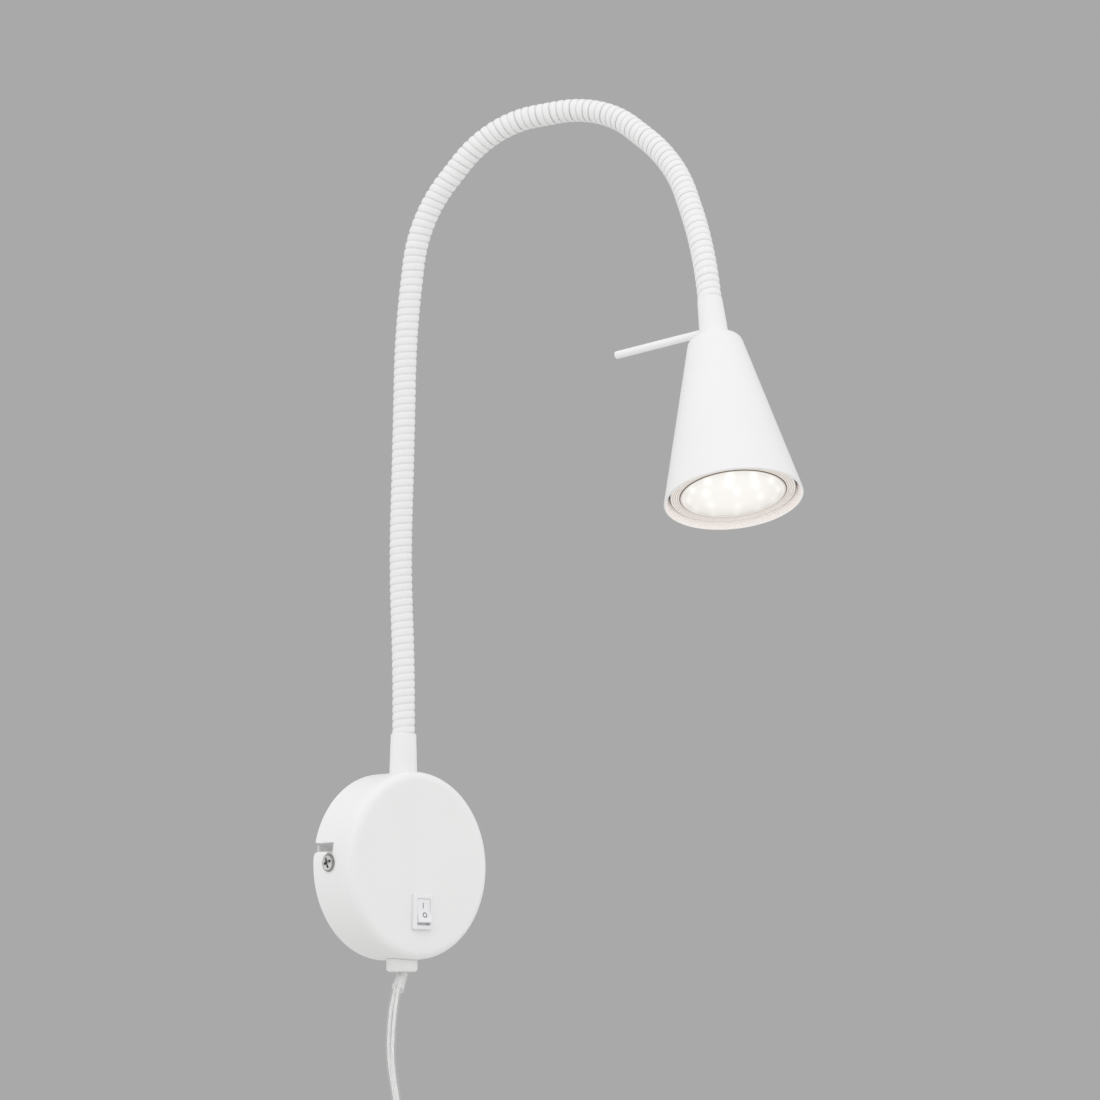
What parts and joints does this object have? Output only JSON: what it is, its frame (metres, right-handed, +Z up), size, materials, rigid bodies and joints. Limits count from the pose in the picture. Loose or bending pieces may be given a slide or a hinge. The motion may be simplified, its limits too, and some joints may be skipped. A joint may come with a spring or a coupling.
{
  "type": "plug-in wall lamp",
  "caption": "Plug-in wall lamp: round canopy with a rocker switch, bendable ribbed arm, cone shade with a handle rod, twist-lock reflector bulb and coiled clear cord.",
  "frame": {"origin": "middle of the canopy's back, on the wall's surface", "axes": "+Z up the wall, +Y into the wall, the lamp stands out towards -Y, +X to the right of a person who faces the wall"},
  "size_m": [0.1147, 0.2279, 0.5605],
  "materials": {
    "white_enamel": "satin",
    "white_sheath": "satin",
    "zinc_steel": "satin",
    "bright_nickel": "polished",
    "contact_brass": "satin",
    "white_plastic": "satin",
    "ivory_plastic": "matte",
    "clear_cord": "gloss",
    "lead_sheath": "matte",
    "brown_wire": "matte",
    "black_wire": "matte",
    "blue_wire": "matte",
    "bulb_white": "satin",
    "board_white": "matte",
    "led_phosphor": "matte",
    "clear_lens": "gloss"
  },
  "bodies": {
    "base": {"wall_bracket": "zinc_steel", "canopy": "white_enamel", "canopy_screws": "bright_nickel", "arm_ferrule": "white_enamel", "arm_washer": "zinc_steel", "arm_nut": "zinc_steel", "switch_housing": "white_plastic", "switch_terminals": "contact_brass", "terminal_block": "ivory_plastic", "terminal_screws": "zinc_steel", "block_screw": "zinc_steel", "lead_cores": "brown_wire", "live_wire": "brown_wire", "switched_wire": "black_wire", "neutral_wire": "blue_wire", "cord_grommet": "white_plastic", "cord_stop": "ivory_plastic", "cord_sleeve": "clear_cord", "mains_cord": "clear_cord", "cord_coil": "clear_cord", "cord_tail": "clear_cord", "cord_tie": "white_plastic", "plug_body": "white_plastic", "plug_pins": "bright_nickel", "gooseneck_0": "white_sheath", "arm_lead_0": "lead_sheath"},
    "rocker": {"switch_rocker": "white_plastic"},
    "arm_link_1": {"gooseneck_1": "white_sheath", "arm_lead_1": "lead_sheath"},
    "arm_link_2": {"gooseneck_2": "white_sheath", "arm_lead_2": "lead_sheath"},
    "arm_link_3": {"gooseneck_3": "white_sheath", "arm_lead_3": "lead_sheath"},
    "arm_link_4": {"gooseneck_4": "white_sheath", "arm_lead_4": "lead_sheath"},
    "arm_link_5": {"gooseneck_5": "white_sheath", "arm_lead_5": "lead_sheath"},
    "arm_link_6": {"gooseneck_6": "white_sheath", "arm_lead_6": "lead_sheath"},
    "arm_link_7": {"gooseneck_7": "white_sheath", "arm_lead_7": "lead_sheath"},
    "head": {"gooseneck_8": "white_sheath", "arm_lead_8": "lead_sheath", "head_ferrule": "white_enamel", "head_nut": "zinc_steel", "shade": "white_enamel", "handle_rod": "white_enamel", "holder_bracket": "zinc_steel", "holder_screws": "zinc_steel", "lamp_holder": "ivory_plastic", "holder_contacts": "contact_brass"},
    "bulb": {"bulb_body": "bulb_white", "bulb_pins": "bright_nickel", "led_board": "board_white", "led_chips": "led_phosphor", "bulb_lens": "clear_lens"}
  },
  "joints": [
    {"name": "arm_bend_1", "type": "hinge", "parent": "base", "child": "arm_link_1", "pos_m": [-0.00138, -0.01204, 0.10697], "axis": [0.9382, 0.342, 0.0523], "range_deg": [-4, 20]},
    {"name": "arm_sway_1", "type": "hinge", "parent": "arm_link_1", "child": "arm_link_2", "pos_m": [-0.00354, -0.01375, 0.15688], "axis": [-0.3446, 0.9373, 0.0522], "range_deg": [-20, 20]},
    {"name": "arm_bend_2", "type": "hinge", "parent": "arm_link_2", "child": "arm_link_3", "pos_m": [-0.00551, -0.01725, 0.20672], "axis": [0.9376, 0.3408, 0.0697], "range_deg": [-20, 20]},
    {"name": "arm_sway_2", "type": "hinge", "parent": "arm_link_3", "child": "arm_link_4", "pos_m": [-0.00698, -0.02335, 0.25629], "axis": [-0.3476, 0.9245, 0.1561], "range_deg": [-20, 20]},
    {"name": "arm_bend_3", "type": "hinge", "parent": "arm_link_4", "child": "arm_link_5", "pos_m": [-0.00004, -0.04286, 0.30076], "axis": [0.9205, 0.3887, -0.0395], "range_deg": [-20, 20]},
    {"name": "arm_sway_3", "type": "hinge", "parent": "arm_link_5", "child": "arm_link_6", "pos_m": [0.0168, -0.08271, 0.32187], "axis": [0.0037, 0.0586, 0.9983], "range_deg": [-20, 20]},
    {"name": "arm_bend_4", "type": "hinge", "parent": "arm_link_6", "child": "arm_link_7", "pos_m": [0.02787, -0.12715, 0.30677], "axis": [0.9832, 0.1568, -0.0939], "range_deg": [-20, 20]},
    {"name": "arm_sway_4", "type": "hinge", "parent": "arm_link_7", "child": "head", "pos_m": [0.02459, -0.15906, 0.26918], "axis": [0.1451, -0.8726, 0.4664], "range_deg": [-20, 20]},
    {"name": "switch_rock", "type": "hinge", "parent": "base", "child": "rocker", "pos_m": [0, -0.0224, -0.02], "axis": [1, 0, 0], "range_deg": [0, 16]},
    {"name": "bulb_twist", "type": "hinge", "parent": "head", "child": "bulb", "pos_m": [0.01376, -0.18252, 0.20607], "axis": [-0.1374, -0.2573, -0.9565], "range_deg": [0, 30]}
  ]
}
